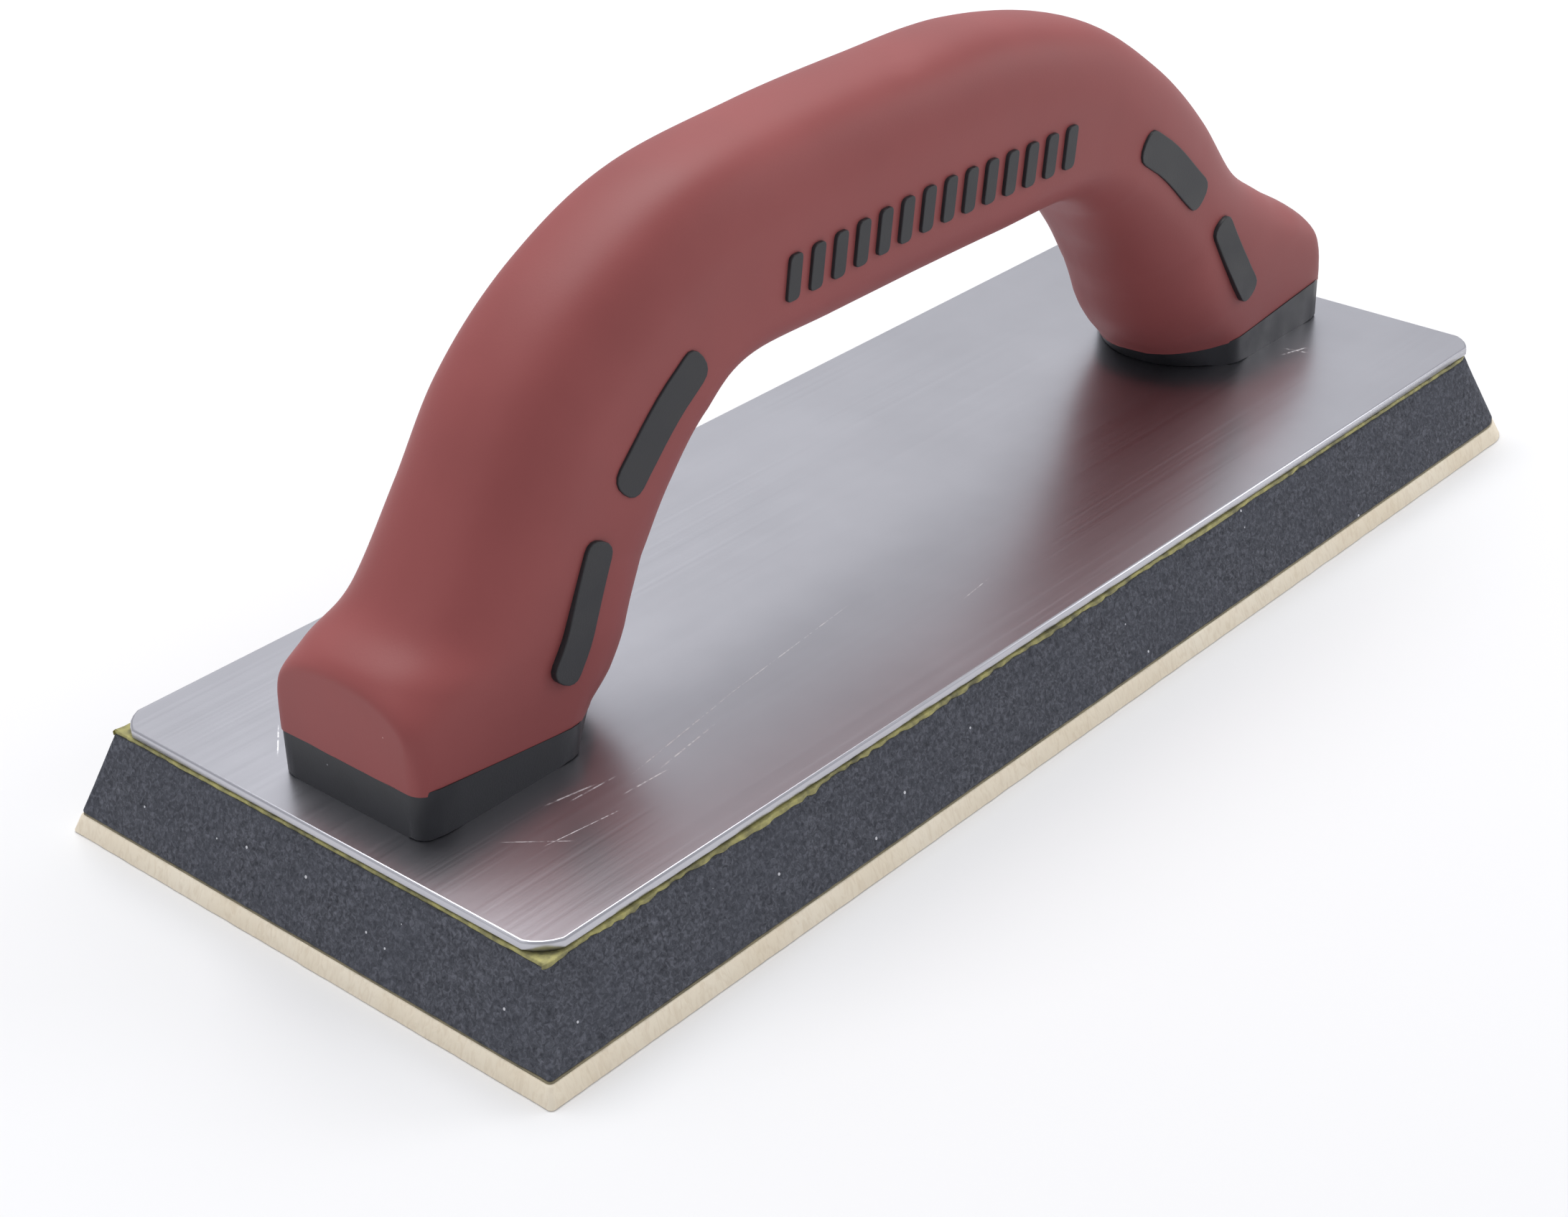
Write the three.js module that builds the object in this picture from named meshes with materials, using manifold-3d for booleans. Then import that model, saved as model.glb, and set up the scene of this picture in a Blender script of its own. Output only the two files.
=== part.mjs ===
// Rubber grout float: a gum-rubber face and a sponge pad bonded under an aluminium plate, with a
// bridge handle of soft rubber moulded over a hard plastic core. Millimetres, +Z up, +X along the
// blade. The origin is the centre of the working face, on the surface it rests on.
import * as THREE from 'three';
import * as BufferGeometryUtils from 'three/addons/utils/BufferGeometryUtils.js';
import Module from 'manifold-3d';

const wasm = await Module();
wasm.setup();

// ---- driving dimensions -------------------------------------------------------------------------

// blade: the face is the largest layer, and the sides lean in from it to the plate
const faceLength = 254;
const faceWidth = 101.6;
const sideSplay = 6.35; // how far the face stands out past the plate all round
const gumThickness = 3;
const faceGlueThickness = 0.3;
const foamThickness = 13.2;
const plateGlueThickness = 0.6;
const plateThickness = 1.6;
const padLip = 0.4; // how far the top of the pad stands out past the plate
const glueBead = 0.3; // how far the squeezed-out glue stands out past the pad's top edge
const rearCornerRadius = 0.8; // pad corners at the -X end, cut almost square
const frontCornerRadius = 7; // pad corners at the +X end
const plateCornerCut = 4; // cut-off corner of the plate, along each edge
const plateCornerBow = 0.3; // 0 is a full round corner, 0.5 a straight cut

// handle: heights are above the plate
const handleLength = 228;
const crownHeight = 77.4;
const undersideHeight = 42;
const plinthHeight = 6;
const plinthDraft = 3; // how much further in the feet reach at the top of the plinths than at the plate
const footHalfWidth = 15.5;
const footCornerRadius = 3;
const leastCornerRadius = 0.5; // kept by the feet's corners when their form is shrunk
const gripHalfWidth = 12.8;
const overmouldThickness = 2.6;
const mouldingGap = 0.3; // clearance kept between the overmoulding and the core

// side outlines of one leg, from the end of the grip down to the foot: distance in from the toe
// face, and share of the rise from the plinth (0) to the crown or to the underside (1); the leg at
// the -X end is the thicker one
const rearOuterOutline = [
  [63.2, 0.955],
  [43.4, 0.833],
  [29, 0.674],
  [19.2, 0.475],
  [9.4, 0.292],
  [1, 0.222],
  [-7, 0.13],
  [-8, 0],
];
const frontOuterOutline = [
  [64.6, 0.91],
  [46.7, 0.758],
  [33.6, 0.594],
  [22.4, 0.4],
  [10.6, 0.285],
  [1.5, 0.21],
  [-7, 0.12],
  [-8, 0],
];
const innerOutline = [
  [74.7, 1],
  [65.2, 0.869],
  [58.2, 0.643],
  [52.8, 0.393],
  [48, 0.184],
  [44.6, 0.084],
  [42.5, 0.025],
  [41.8, 0],
];
// sections at the same places, the first two on the grip: share of the way from the grip's half
// width to the feet's, depth of the crowned outside, depth of the rounded inside; the lowest
// sections swell past the feet's half width, which the feet are then cut to
const sectionSizes = [
  [0, 11.3, 8.5],
  [0, 11.6, 8],
  [0.1, 11.5, 7.5],
  [0.32, 11.8, 8],
  [0.41, 12.2, 10],
  [0.68, 12.4, 13],
  [1.1, 14, 12.5],
  [1.2, 12.5, 12],
  [1.2, 12, 12.5],
  [1.2, 8, 13],
];
const crownSquareness = 2.4; // superellipse powers: 2 is a plain ellipse
const insideSquareness = 1.9;
const gripCrownDrop = 0.6; // the crown falls this much between mid grip and its ends

// the core shows through the overmoulding: two windows on each leg, and a row of marks on the grip
const windowSpans = [
  [2.9, 4.2],
  [5.05, 6.5],
];
const windowWidths = [6.2, 5.4];
const windowInset = 6; // from the rounded inside to the windows' middle line
const windowProud = 0.4;
const markRowMargin = 12.5; // from the ends of the row of marks to the ends of the grip
const markPitch = 5.2;
const markWidth = 2.8;
const markHeight = 7;
const markLean = 1.2;
const markRounding = 0.8; // 1 rounds the marks' corners right to the middle of their short sides
const markProud = 0.6;

// screws, up through the plate into the core's feet
const screwInsets = [12, 29]; // from the toe face
const screwDiameter = 3.5;
const screwHeadDiameter = 6.4;
const screwHeadHeight = 1.5;
const screwLength = 16;
const screwTipLength = 3;
const screwClearance = 0.3;
const screwHoleRelief = 1.5; // depth of the hole past the screw's tip
const driveWidth = 0.9;
const driveLength = 3.6;
const driveDepth = 1;

// fineness of the curved surfaces
const ringQuarterSteps = 5;
const stepsPerKnot = 2;
const coreStepsPerKnot = 2;
const cornerSteps = 4;
const windowSteps = 6;
const screwSides = 24;

// ---- levels and sizes worked out from them ------------------------------------------------------

const gumTop = gumThickness;
const foamBottom = gumTop + faceGlueThickness;
const foamTop = foamBottom + foamThickness;
const plateBottom = foamTop + plateGlueThickness;
const plateTop = plateBottom + plateThickness;
const partingHeight = plateTop + plinthHeight;
const plateHalfLength = faceLength / 2 - sideSplay;
const plateHalfWidth = faceWidth / 2 - sideSplay;
const toe = handleLength / 2;
const gripHalfLength = toe - frontOuterOutline[0][0];
const markCount = Math.floor((2 * (gripHalfLength - markRowMargin)) / markPitch);
const widestHalfWidth = Math.max(footHalfWidth, gripHalfWidth);
const sideLean = (sideSplay - padLip) / foamTop;
const reach = 2 * (faceLength + crownHeight); // larger than the whole float, for cutting blocks

// ---- solids -------------------------------------------------------------------------------------

// a closed three.js geometry as a manifold solid
function solidOf(geometry) {
  const bare = geometry.clone();
  bare.deleteAttribute('normal');
  bare.deleteAttribute('uv');
  const merged = BufferGeometryUtils.mergeVertices(bare, 1e-5);
  const vertProperties = new Float32Array(merged.attributes.position.array);
  const triVerts = new Uint32Array(merged.index.array);
  return new wasm.Manifold(new wasm.Mesh({ numProp: 3, vertProperties, triVerts }));
}

// a manifold solid as a flat-shaded three.js geometry
function geometryOf(solid) {
  const { vertProperties, triVerts } = solid.getMesh();
  const geometry = new THREE.BufferGeometry();
  geometry.setAttribute('position', new THREE.BufferAttribute(new Float32Array(vertProperties), 3));
  geometry.setIndex(new THREE.BufferAttribute(new Uint32Array(triVerts), 1));
  const flat = geometry.toNonIndexed();
  flat.computeVertexNormals();
  return flat;
}

// a closed skin through rings of equally many points, flat at both ends: a cylinder whose rows are
// moved onto the rings
function loft(rings) {
  const sides = rings[0].length;
  const geometry = new THREE.CylinderGeometry(1, 1, 1, sides, rings.length - 1);
  const position = geometry.attributes.position;
  const middles = rings.map((ring) => {
    const sum = ring.reduce((total, point) => total.add(point), new THREE.Vector3());
    return sum.divideScalar(sides);
  });
  for (let i = 0; i < position.count; i += 1) {
    const row = Math.round((0.5 - position.getY(i)) * (rings.length - 1));
    const turn = Math.atan2(position.getX(i), position.getZ(i)) / (2 * Math.PI);
    const side = (Math.round(turn * sides) + sides) % sides;
    const onAxis = Math.hypot(position.getX(i), position.getZ(i)) < 0.5;
    const point = onAxis ? middles[row] : rings[row][side];
    position.setXYZ(i, point.x, point.y, point.z);
  }
  return geometry;
}

// an upright prism of a plan outline between two heights
function prism(shape, bottom, top) {
  const geometry = new THREE.ExtrudeGeometry(shape, {
    depth: top - bottom,
    bevelEnabled: false,
    curveSegments: cornerSteps,
  });
  return geometry.translate(0, 0, bottom);
}

// a block that holds everything from one height upwards, or up to a second one
function layer(bottom, top = reach) {
  const block = new THREE.BoxGeometry(reach, reach, top - bottom);
  return solidOf(block.translate(0, 0, (bottom + top) / 2));
}

// plan outline with one corner radius at the -X end and another at the +X end
function roundedPlan(halfLength, halfWidth, rearRadius, frontRadius) {
  const quarter = Math.PI / 2;
  const shape = new THREE.Shape();
  shape.moveTo(-halfLength + rearRadius, -halfWidth);
  shape.lineTo(halfLength - frontRadius, -halfWidth);
  shape.absarc(halfLength - frontRadius, -halfWidth + frontRadius, frontRadius, -quarter, 0);
  shape.absarc(halfLength - frontRadius, halfWidth - frontRadius, frontRadius, 0, quarter);
  shape.absarc(-halfLength + rearRadius, halfWidth - rearRadius, rearRadius, quarter, 2 * quarter);
  shape.absarc(-halfLength + rearRadius, -halfWidth + rearRadius, rearRadius, 2 * quarter, 3 * quarter);
  return shape;
}

// ---- blade --------------------------------------------------------------------------------------

// the pad's plan outline at a height, lying on the leaning sides that all the soft layers share
function padRing(height, extra = 0) {
  const out = sideSplay - sideLean * height + extra;
  const plan = roundedPlan(plateHalfLength + out, plateHalfWidth + out, rearCornerRadius, frontCornerRadius);
  const points = plan.getPoints(cornerSteps).slice(0, -1);
  return points.map((point) => new THREE.Vector3(point.x, point.y, height));
}

function padLayer(bottom, top, extra = 0) {
  return loft([padRing(top, extra), padRing(bottom, extra)]);
}

function platePlan() {
  const x = plateHalfLength;
  const y = plateHalfWidth;
  const cut = plateCornerCut;
  const bow = plateCornerCut * plateCornerBow;
  const shape = new THREE.Shape();
  shape.moveTo(-x + cut, -y);
  shape.lineTo(x - cut, -y);
  shape.quadraticCurveTo(x - bow, -y + bow, x, -y + cut);
  shape.lineTo(x, y - cut);
  shape.quadraticCurveTo(x - bow, y - bow, x - cut, y);
  shape.lineTo(-x + cut, y);
  shape.quadraticCurveTo(-x + bow, y - bow, -x, y - cut);
  shape.lineTo(-x, -y + cut);
  shape.quadraticCurveTo(-x + bow, -y + bow, -x + cut, -y);
  return shape;
}

// ---- screws -------------------------------------------------------------------------------------

const screwPlaces = [];
for (const side of [-1, 1]) {
  for (const inset of screwInsets) {
    screwPlaces.push(side * (toe - inset));
  }
}

// a countersunk screw standing on its head at the plate's underside, or the hole that clears it
function screwForm(clearance, relief) {
  const headRadius = screwHeadDiameter / 2 + clearance;
  const shankRadius = screwDiameter / 2 + clearance;
  const shoulder = plateBottom + screwHeadHeight;
  const tip = plateBottom + screwLength + relief;
  const profile = [
    new THREE.Vector2(0, plateBottom),
    new THREE.Vector2(headRadius, plateBottom),
    new THREE.Vector2(shankRadius, shoulder + clearance),
    new THREE.Vector2(shankRadius, tip - screwTipLength),
    new THREE.Vector2(0, tip),
  ];
  return new THREE.LatheGeometry(profile, screwSides).rotateX(Math.PI / 2);
}

function screwGeometry(x) {
  let screw = solidOf(screwForm(0, 0));
  for (const turn of [0, Math.PI / 2]) {
    const slot = new THREE.BoxGeometry(driveLength, driveWidth, 2 * driveDepth);
    screw = screw.subtract(solidOf(slot.rotateZ(turn).translate(0, 0, plateBottom)));
  }
  return geometryOf(screw).translate(x, 0, 0);
}

// every screw's hole in one solid; it starts below the plate so that the cut goes right through
function screwHoles() {
  let holes = null;
  for (const x of screwPlaces) {
    const mouth = new THREE.CylinderGeometry(
      screwHeadDiameter / 2 + screwClearance,
      screwHeadDiameter / 2 + screwClearance,
      plateThickness,
      screwSides,
    );
    mouth.rotateX(Math.PI / 2).translate(0, 0, plateBottom - plateThickness / 2);
    const hole = solidOf(screwForm(screwClearance, screwHoleRelief)).add(solidOf(mouth));
    const placed = hole.translate([x, 0, 0]);
    holes = holes ? holes.add(placed) : placed;
  }
  return holes;
}

function plateGeometry() {
  const plate = solidOf(prism(platePlan(), plateBottom, plateTop));
  return geometryOf(plate.subtract(screwHoles()));
}

// ---- handle -------------------------------------------------------------------------------------

// a smooth curve from toe to toe through knots given for each half, from mid grip to the foot
function curveThrough(rearHalf, frontHalf) {
  const rear = rearHalf.slice(1).reverse().map((knot) => new THREE.Vector3(-knot.x, knot.y, knot.z));
  return new THREE.CatmullRomCurve3([...rear, ...frontHalf], false, 'catmullrom', 0.5);
}

function legKnots(outline, topHeight, crownDrop, footDraft) {
  const rise = topHeight - plinthHeight;
  const leg = outline.map(([inset, share]) => {
    return new THREE.Vector3(toe - inset, 0, partingHeight + share * rise);
  });
  const middle = new THREE.Vector3(0, 0, plateTop + topHeight);
  const gripEnd = new THREE.Vector3(leg[0].x / 2, 0, plateTop + topHeight - crownDrop);
  const last = leg[leg.length - 1];
  const base = new THREE.Vector3(last.x + 2 * footDraft, 0, plateTop - plinthHeight);
  return [middle, gripEnd, ...leg, base];
}

const lastKnot = sectionSizes.length;
const outerCurve = curveThrough(
  legKnots(rearOuterOutline, crownHeight, gripCrownDrop, 0),
  legKnots(frontOuterOutline, crownHeight, gripCrownDrop, 0),
);
const innerKnots = legKnots(innerOutline, undersideHeight, 0, plinthDraft);
const innerCurve = curveThrough(innerKnots, innerKnots);

// the sizes of the section at a knot number, which is 0 at mid grip and may be fractional
function sectionAt(knot) {
  const place = Math.min(Math.abs(knot), lastKnot - 1);
  const below = Math.min(Math.floor(place), lastKnot - 2);
  const share = place - below;
  const [widthShare, crownDepth, insideDepth] = sectionSizes[below].map((size, i) => {
    return THREE.MathUtils.lerp(size, sectionSizes[below + 1][i], share);
  });
  const along = (knot + lastKnot) / (2 * lastKnot);
  const outer = outerCurve.getPoint(along);
  const inner = innerCurve.getPoint(along);
  const depth = outer.distanceTo(inner);
  const outward = outer.clone().sub(inner).divideScalar(depth);
  const halfWidth = THREE.MathUtils.lerp(gripHalfWidth, footHalfWidth, widthShare);
  return { inner, outward, depth, halfWidth, crownDepth, insideDepth };
}

// one closed section of the handle, shrunk by an inset all round (a negative inset swells it)
function handleRing(knot, inset) {
  const { inner, outward, depth, halfWidth, crownDepth, insideDepth } = sectionAt(knot);
  const crown = crownDepth - inset;
  const inside = insideDepth - inset;
  const width = halfWidth - inset;
  const half = [];
  for (let i = 0; i <= ringQuarterSteps; i += 1) {
    const angle = (i / ringQuarterSteps) * (Math.PI / 2);
    const power = 2 / insideSquareness;
    half.push([insideDepth - inside * Math.cos(angle) ** power, width * Math.sin(angle) ** power]);
  }
  for (let i = 0; i <= ringQuarterSteps; i += 1) {
    const angle = (i / ringQuarterSteps) * (Math.PI / 2);
    const power = 2 / crownSquareness;
    half.push([depth - crownDepth + crown * Math.sin(angle) ** power, width * Math.cos(angle) ** power]);
  }
  const otherHalf = half.slice(1, -1).reverse().map(([out, side]) => [out, -side]);
  return [...half, ...otherHalf].map(([out, side]) => {
    return inner.clone().addScaledVector(outward, out).setY(side);
  });
}

// the handle's whole form, feet included, shrunk by an inset; the toes are cut off upright and the
// bottom is cut level with the plate
function handleForm(inset, steps) {
  const rings = [];
  for (let i = lastKnot * steps; i >= -lastKnot * steps; i -= 1) {
    rings.push(handleRing(i / steps, inset));
  }
  const corner = Math.max(footCornerRadius - inset, leastCornerRadius);
  const plan = roundedPlan(toe - inset, widestHalfWidth - inset, corner, corner);
  const envelope = solidOf(prism(plan, plateTop, reach));
  return solidOf(loft(rings)).intersect(envelope);
}

// a point on the middle line of the side panels
function panelPoint(knot) {
  const { inner, outward, insideDepth } = sectionAt(knot);
  return inner.clone().addScaledVector(outward, insideDepth + windowInset);
}

// a bar right across the handle from a side outline in X and Z
function crossBar(outline) {
  const geometry = new THREE.ExtrudeGeometry(outline, {
    depth: 4 * widestHalfWidth,
    bevelEnabled: false,
    curveSegments: cornerSteps,
  });
  return solidOf(geometry.rotateX(Math.PI / 2).translate(0, 2 * widestHalfWidth, 0));
}

// a strip with round ends along the panels' middle line, between two knot numbers
function panelStrip(from, to, width) {
  const left = [];
  const right = [];
  let start = 0;
  let end = 0;
  for (let i = 0; i <= windowSteps; i += 1) {
    const knot = THREE.MathUtils.lerp(from, to, i / windowSteps);
    const here = panelPoint(knot);
    const ahead = panelPoint(knot + 0.01);
    const heading = Math.atan2(ahead.z - here.z, ahead.x - here.x);
    start = i === 0 ? heading : start;
    end = heading;
    const across = new THREE.Vector2(-Math.sin(heading), Math.cos(heading)).multiplyScalar(width / 2);
    left.push(new THREE.Vector2(here.x, here.z).add(across));
    right.unshift(new THREE.Vector2(here.x, here.z).sub(across));
  }
  const first = panelPoint(from);
  const last = panelPoint(to);
  const quarter = Math.PI / 2;
  const shape = new THREE.Shape(left);
  shape.absarc(last.x, last.z, width / 2, end + quarter, end - quarter, true);
  right.slice(1, -1).forEach((point) => shape.lineTo(point.x, point.y));
  shape.absarc(first.x, first.z, width / 2, start - quarter, start - 3 * quarter, true);
  return crossBar(shape);
}

// a leaning mark with rounded corners, centred on a point
function leaningMark(middle, width, height) {
  const x = width / 2;
  const z = height / 2;
  const lean = markLean / 2;
  const round = Math.min(x, z) * markRounding;
  const shape = new THREE.Shape();
  const corners = [
    [-x - lean, -z],
    [x - lean, -z],
    [x + lean, z],
    [-x + lean, z],
  ].map(([cx, cz]) => new THREE.Vector2(middle.x + cx, middle.z + cz));
  corners.forEach((corner, i) => {
    const before = corners[(i + 3) % 4];
    const after = corners[(i + 1) % 4];
    const from = before.clone().sub(corner).setLength(round).add(corner);
    const to = after.clone().sub(corner).setLength(round).add(corner);
    if (i === 0) shape.moveTo(from.x, from.y);
    else shape.lineTo(from.x, from.y);
    shape.quadraticCurveTo(corner.x, corner.y, to.x, to.y);
  });
  shape.closePath();
  return crossBar(shape);
}

// where the panels' middle line reaches an X position
function panelPointAtX(x) {
  let low = -lastKnot / 2;
  let high = lastKnot / 2;
  for (let i = 0; i < 30; i += 1) {
    const middle = (low + high) / 2;
    if (panelPoint(middle).x < x) low = middle;
    else high = middle;
  }
  return panelPoint(low);
}

// everything of the core that shows through the overmoulding, grown all round by a clearance
function showThroughBars(clearance) {
  const windows = [];
  const marks = [];
  for (const side of [-1, 1]) {
    windowSpans.forEach(([near, far], i) => {
      const [from, to] = side < 0 ? [-far, -near] : [near, far];
      windows.push(panelStrip(from, to, windowWidths[i] + 2 * clearance));
    });
  }
  for (let i = 0; i < markCount; i += 1) {
    const x = (i - (markCount - 1) / 2) * markPitch;
    marks.push(leaningMark(panelPointAtX(x), markWidth + 2 * clearance, markHeight + 2 * clearance));
  }
  const joined = (solids) => solids.reduce((total, solid) => total.add(solid));
  return { windows: joined(windows), marks: joined(marks) };
}

function gripGeometry() {
  const outside = handleForm(0, stepsPerKnot).intersect(layer(partingHeight));
  const cavity = handleForm(overmouldThickness, coreStepsPerKnot);
  const { windows, marks } = showThroughBars(mouldingGap);
  return geometryOf(outside.subtract(cavity).subtract(windows).subtract(marks));
}

function coreGeometry() {
  const spine = handleForm(overmouldThickness + mouldingGap, coreStepsPerKnot);
  const plinths = handleForm(0, stepsPerKnot).intersect(layer(plateTop, partingHeight));
  const { windows, marks } = showThroughBars(0);
  const windowPads = windows.intersect(handleForm(-windowProud, stepsPerKnot));
  const markPads = marks.intersect(handleForm(-markProud, stepsPerKnot));
  const core = spine.add(plinths).add(windowPads).add(markPads);
  return geometryOf(core.subtract(screwHoles()));
}

// ---- materials and assembly ---------------------------------------------------------------------

const finishes = {
  gumRubber: { color: 0xd8c9b0, roughness: 0.85, metalness: 0 },
  contactCement: { color: 0xa9a35e, roughness: 0.6, metalness: 0 },
  spongeRubber: { color: 0x34363d, roughness: 0.95, metalness: 0 },
  aluminium: { color: 0xb9bcc6, roughness: 0.35, metalness: 1 },
  blackPlastic: { color: 0x24262a, roughness: 0.5, metalness: 0 },
  softRubber: { color: 0x8f4a4a, roughness: 0.6, metalness: 0 },
  zincSteel: { color: 0xc4c6c8, roughness: 0.3, metalness: 1 },
};

const grout_float = new THREE.Group();

function addPiece(name, finish, geometry) {
  const material = new THREE.MeshStandardMaterial(finishes[finish]);
  material.name = finish;
  const mesh = new THREE.Mesh(geometry, material);
  mesh.name = name;
  grout_float.add(mesh);
}

addPiece('gum_face', 'gumRubber', padLayer(0, gumTop));
addPiece('face_adhesive', 'contactCement', padLayer(gumTop, foamBottom));
addPiece('foam_pad', 'spongeRubber', padLayer(foamBottom, foamTop));
addPiece('plate_adhesive', 'contactCement', padLayer(foamTop, plateBottom, glueBead));
addPiece('backing_plate', 'aluminium', plateGeometry());
addPiece('handle_core', 'blackPlastic', coreGeometry());
addPiece('handle_grip', 'softRubber', gripGeometry());
screwPlaces.forEach((x, i) => addPiece(`handle_screw_${i + 1}`, 'zincSteel', screwGeometry(x)));

export default grout_float;
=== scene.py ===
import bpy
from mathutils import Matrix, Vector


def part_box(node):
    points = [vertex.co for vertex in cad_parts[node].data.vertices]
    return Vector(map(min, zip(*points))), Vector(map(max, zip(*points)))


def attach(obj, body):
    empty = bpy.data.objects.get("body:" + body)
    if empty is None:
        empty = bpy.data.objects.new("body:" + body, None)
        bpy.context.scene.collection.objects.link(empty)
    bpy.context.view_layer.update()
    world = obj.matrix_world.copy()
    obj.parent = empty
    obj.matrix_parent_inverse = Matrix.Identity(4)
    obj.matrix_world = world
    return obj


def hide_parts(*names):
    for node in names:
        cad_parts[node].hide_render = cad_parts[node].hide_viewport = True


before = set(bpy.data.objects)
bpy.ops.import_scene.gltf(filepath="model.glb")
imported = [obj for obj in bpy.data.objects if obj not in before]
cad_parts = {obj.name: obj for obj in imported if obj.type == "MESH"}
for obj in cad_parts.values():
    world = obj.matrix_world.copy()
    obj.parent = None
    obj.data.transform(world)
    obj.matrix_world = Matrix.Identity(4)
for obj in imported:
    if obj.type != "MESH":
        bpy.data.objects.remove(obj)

"""Rubber grout float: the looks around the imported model.

Metres, in the model's frame: X along the blade, Z up, the working face on Z = 0. The pad, the glue, the plate and
the handle are remade here with their fine surfaces, in the places that the frame gives. The screws keep their own
shape and get a better material.
"""

import math

import bmesh
import bpy
from mathutils import Matrix, Vector, noise

MM = 0.001
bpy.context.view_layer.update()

# ---- places and sizes, from the frame -----------------------------------------------------------------

FACE_LOW, FACE_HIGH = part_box("gum_face")
FOAM_LOW, FOAM_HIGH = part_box("foam_pad")
PLATE_LOW, PLATE_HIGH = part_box("backing_plate")
GLUE_LOW, GLUE_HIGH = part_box("plate_adhesive")
GRIP_LOW, GRIP_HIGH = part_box("handle_grip")
PLATE_TOP = PLATE_HIGH.z
PARTING = GRIP_LOW.z  # the level where the soft grip ends and the black plinth begins
TOE = GRIP_HIGH.x
CROWN = PLATE_TOP + 77.4 * MM

# ---- the handle's outlines ----------------------------------------------------------------------------

UNDERSIDE = PLATE_TOP + 42 * MM
GRIP_HALF_WIDTH = 12.8 * MM
FOOT_HALF_WIDTH = GRIP_HIGH.y
FOOT_CORNER_RADIUS = 3 * MM
GRIP_CROWN_DROP = 0.6 * MM

# one leg from the end of the grip to the foot: millimetres in from the toe face, and share of the rise from the
# plinth to the crown or to the underside; the leg at the -X end is the thicker one
REAR_OUTER_OUTLINE = (
    (63.2, 0.955), (43.4, 0.833), (29, 0.674), (19.2, 0.475), (9.4, 0.292), (1, 0.222), (-7, 0.13), (-8, 0),
)
FRONT_OUTER_OUTLINE = (
    (64.6, 0.91), (46.7, 0.758), (33.6, 0.594), (22.4, 0.4), (10.6, 0.285), (1.5, 0.21), (-7, 0.12), (-8, 0),
)
INNER_OUTLINE = (
    (74.7, 1), (65.2, 0.869), (58.2, 0.643), (52.8, 0.393), (48, 0.184), (44.6, 0.084), (42.5, 0.025), (41.8, 0),
)
# sections at the same places, the first two on the grip: share of the way from the grip's half width to the
# feet's, depth of the crowned outside and depth of the rounded inside in millimetres
SECTIONS = (
    (0, 11.3, 8.5), (0, 11.6, 8), (0.1, 11.5, 7.5), (0.32, 11.8, 8), (0.41, 12.2, 10),
    (0.68, 12.4, 13), (1.06, 14, 12.5), (1.12, 12.5, 12), (1.12, 12, 12.5), (1.12, 8, 13),
)
LAST = len(SECTIONS) - 1  # the knot number of the parting level
RING_STEPS = (14, 8, 18)  # points on half a section: inside, side panel, crown
STEPS_PER_KNOT = 16
SOFT_PASSES = 2  # how many times a section's corners are averaged away on the grip and legs
CRISP_PASSES = 1  # the same at the feet
CRISP_KNOTS = (6.5, 9)  # the sections grow crisp between these knots

GRIP_TURN = math.radians(18)  # how sharply the inside turns away from the side panel, on the grip
FOOT_TURN = math.radians(36)  # and at the foot
CROWN_TURN = math.radians(12)  # how sharply the outside turns away from it
INSIDE_PULL, INSIDE_FULLNESS = 0.55, 0.62  # how far the curve's handles reach: 1 would make a square corner
CROWN_PULL, CROWN_FULLNESS = 0.66, 0.7
TOE_SOFTNESS = 2 * MM  # how softly the soft grip rolls over the edges of the toe face
PLINTH_SOFTNESS = 0.4 * MM

PARTING_RISE = 1.4 * MM  # how far above its middle level the parting line is at the toe
PARTING_SLOPE = 0.1  # how fast it falls from there towards the middle of the float
PARTING_FADE = 12 * MM  # the height over which the slope fades out
PLINTH_INSET = 0.15 * MM  # how far the plinths stand back from the soft grip
PLINTH_DRAFT = 3 * MM  # how much further in the plinths reach at their top than at the plate
PLINTH_DRAFT_REACH = 16 * MM  # the length of plinth over which the draft fades out
PLINTH_LIP = 0.5 * MM  # how far they go up inside the soft grip
PLINTH_RIM = 0.3 * MM

WINDOW_SPANS = ((2.9, 4.2), (5.05, 6.8))  # knot numbers where each window begins and ends
WINDOW_WIDTHS = (6.2 * MM, 5.4 * MM)
WINDOW_STEPS = 8  # points along a window's side, and round each of its ends
WINDOW_END_REACH = 0.8  # length of a window's end over half the window's width
WINDOW_END_SQUARENESS = 0.85  # 1 is an ellipse, and less is squarer
WINDOW_INSET = 6 * MM  # how far the windows and marks are centred from the panel's inside edge
WINDOW_PROUD = 0.4 * MM
WINDOW_RIM = 0.18 * MM
MARK_ROW_MARGIN = 12.5 * MM  # how far from the grip's end the row of marks stops
MARK_PITCH = 5.2 * MM
MARK_WIDTH = 2.8 * MM
MARK_HEIGHT = 7 * MM
MARK_LEAN = 1.2 * MM
MARK_CORNER = 1 * MM
MARK_PROUD = 0.6 * MM
MARK_RIM = 0.16 * MM
PAD_ROOT = 1.5 * MM  # how deep the windows and marks go under their own faces

GATE = Vector((1 * MM, -3 * MM))  # where the moulding gate was broken off the crown, in X and Y
GATE_REACH = 8 * MM
GATE_BOWL, GATE_BOWL_DEPTH = 2.2 * MM, 0.3 * MM  # the shallow bowl that it left
GATE_RING, GATE_RING_WIDTH, GATE_RING_DEPTH = 3.4 * MM, 0.9 * MM, 0.12 * MM  # the groove round the bowl


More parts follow.
